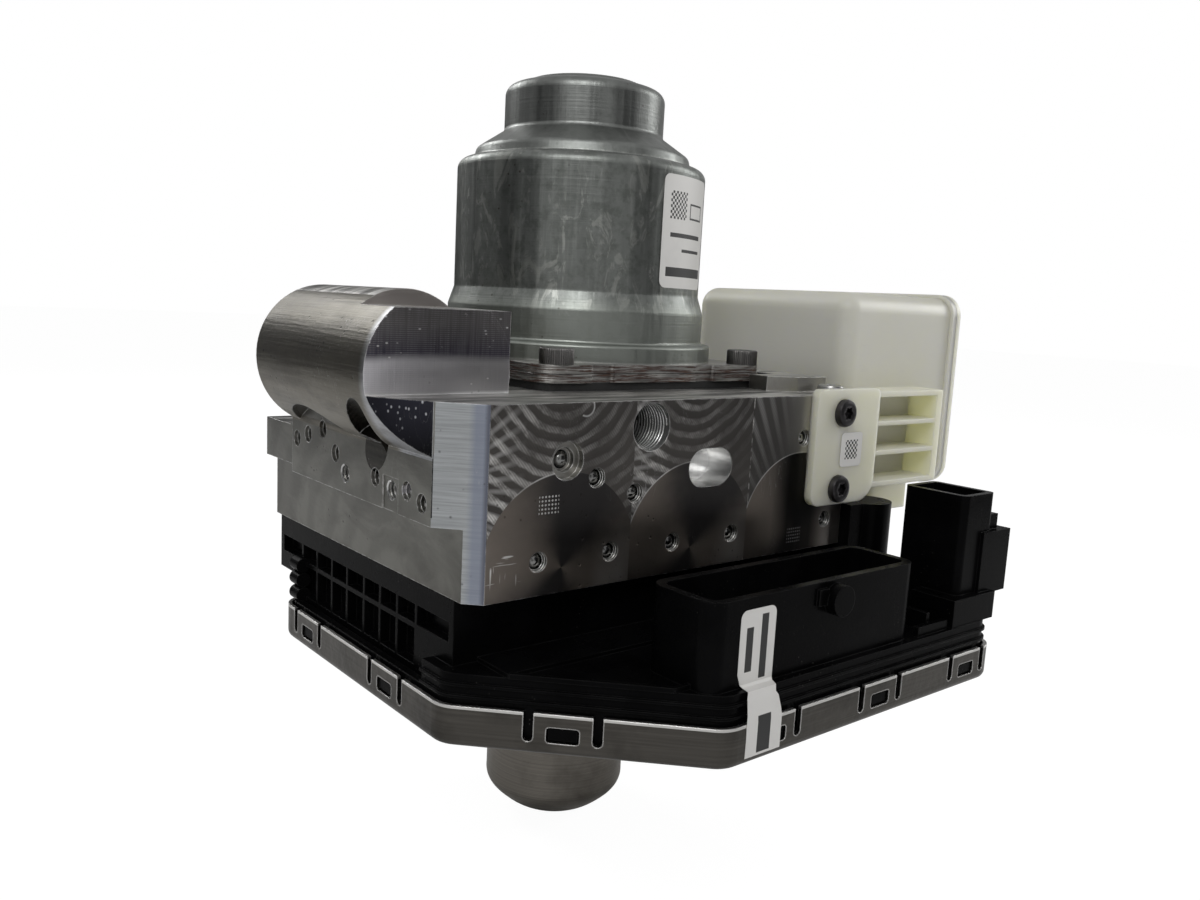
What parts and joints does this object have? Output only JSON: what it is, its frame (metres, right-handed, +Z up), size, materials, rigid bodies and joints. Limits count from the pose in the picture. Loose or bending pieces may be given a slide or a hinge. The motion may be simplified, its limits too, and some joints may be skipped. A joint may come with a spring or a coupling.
{
  "type": "abs brake module",
  "caption": "One-box brake control unit: motor on an aluminium valve block with master cylinder barrel, translucent fluid reservoir, black control housing with sockets, metal pan",
  "frame": {"origin": "where the motor axis meets the valve block's top face", "axes": "+Z up along the motor axis, +X right along the block's front face, +Y away from the front face"},
  "size_m": [0.2761, 0.1756, 0.2614],
  "materials": {
    "machined_aluminium": "milled aluminium with swirl marks",
    "turned_aluminium": "turned aluminium",
    "bright_steel": "ground steel",
    "plain_steel": "plain steel",
    "electrical_steel": "laminated electrical steel",
    "zinc_steel": "drawn zinc-coated steel, grey with a green tint",
    "rusty_sheet": "steel sheet with rusty cut edges",
    "black_steel": "black oxide steel",
    "copper_wire": "enamelled copper wire",
    "magnet": "sintered magnet",
    "tinned_brass": "tin-plated brass",
    "rubber": "black rubber",
    "black_plastic": "satin black glass-filled plastic",
    "milky_plastic": "translucent off-white plastic",
    "cap_plastic": "black plastic",
    "float_foam": "closed-cell float",
    "board_green": "coated circuit board",
    "capacitor_can": "sleeved capacitor can",
    "cover_sheet": "brushed sheet metal",
    "label_film": "white film"
  },
  "bodies": {
    "unit": {"ball_plugs": "bright_steel", "board_chips": "black_plastic", "bracket_screws": "black_steel", "capacitors": "capacitor_can", "circuit_board": "board_green", "code_label": "label_film", "coil_yokes": "plain_steel", "cover": "cover_sheet", "cover_seal": "rubber", "cylinder_seal": "rubber", "ecu_housing": "black_plastic", "guide_rod": "plain_steel", "housing_screws": "black_steel", "level_switch": "black_plastic", "lower_bearing_balls": "bright_steel", "lower_bearing_outer": "bright_steel", "motor_can": "zinc_steel", "motor_gasket": "rubber", "motor_label": "label_film", "motor_screws": "black_steel", "mounting_plates": "rusty_sheet", "outlet_grommets": "rubber", "pad_screw": "bright_steel", "piston_seals": "rubber", "plunger_cylinder": "turned_aluminium", "plunger_seals": "rubber", "power_pins": "tinned_brass", "pressure_sensors": "bright_steel", "primary_spring": "plain_steel", "reservoir_body": "milky_plastic", "reservoir_lid": "milky_plastic", "retaining_ring": "plain_steel", "rod_boot": "rubber", "rod_guide": "black_plastic", "seal_strip": "label_film", "secondary_spring": "plain_steel", "sensor_pins": "tinned_brass", "signal_pins": "tinned_brass", "simulator_plug": "turned_aluminium", "simulator_spring": "plain_steel", "solenoid_valves": "bright_steel", "stator_coils": "copper_wire", "stator_core": "electrical_steel", "upper_bearing_balls": "bright_steel", "upper_bearing_outer": "bright_steel", "valve_block": "machined_aluminium", "valve_coils": "copper_wire"},
    "rotor": {"rotor_hub": "plain_steel", "rotor_magnets": "magnet", "ball_nut": "plain_steel", "lower_bearing_inner": "bright_steel", "upper_bearing_inner": "bright_steel"},
    "plunger_drive": {"plunger": "turned_aluminium", "screw_spindle": "plain_steel"},
    "pedal_rod": {"push_rod": "plain_steel", "primary_piston": "turned_aluminium"},
    "rear_circuit_piston": {"secondary_piston": "turned_aluminium"},
    "simulator": {"simulator_piston": "turned_aluminium"},
    "fluid_float": {"float": "float_foam"},
    "cap": {"filler_cap": "cap_plastic"}
  },
  "joints": [
    {"name": "rotor_spin", "type": "hinge", "parent": "unit", "child": "rotor", "pos_m": [0, 0, 0], "axis": [0, 0, 1], "range_deg": [0, 2250]},
    {"name": "plunger_slide", "type": "slide", "parent": "unit", "child": "plunger_drive", "axis": [0, 0, 1], "range_m": [-0.05, 0]},
    {"name": "pedal_push", "type": "slide", "parent": "unit", "child": "pedal_rod", "axis": [0, -1, 0], "range_m": [0, 0.012], "stiffness_N_per_m": 1200, "springref_m": -0.004, "deforming": ["primary_spring", "rod_boot"]},
    {"name": "rear_piston_slide", "type": "slide", "parent": "unit", "child": "rear_circuit_piston", "axis": [0, -1, 0], "range_m": [0, 0.008], "stiffness_N_per_m": 1500, "springref_m": -0.003, "deforming": ["secondary_spring"]},
    {"name": "simulator_slide", "type": "slide", "parent": "unit", "child": "simulator", "axis": [0, 1, 0], "range_m": [0, 0.02], "stiffness_N_per_m": 1800, "springref_m": -0.003, "deforming": ["simulator_spring"]},
    {"name": "float_slide", "type": "slide", "parent": "unit", "child": "fluid_float", "axis": [1, 0, 0], "range_m": [-0.02, 0.007]},
    {"name": "cap_lift", "type": "slide", "parent": "unit", "child": "cap", "axis": [1, 0, 0], "range_m": [0, 0.03]}
  ],
  "couplings": [
    {"joint": "plunger_slide", "follows": "rotor_spin", "m_per_rad": -0.0012732}
  ]
}
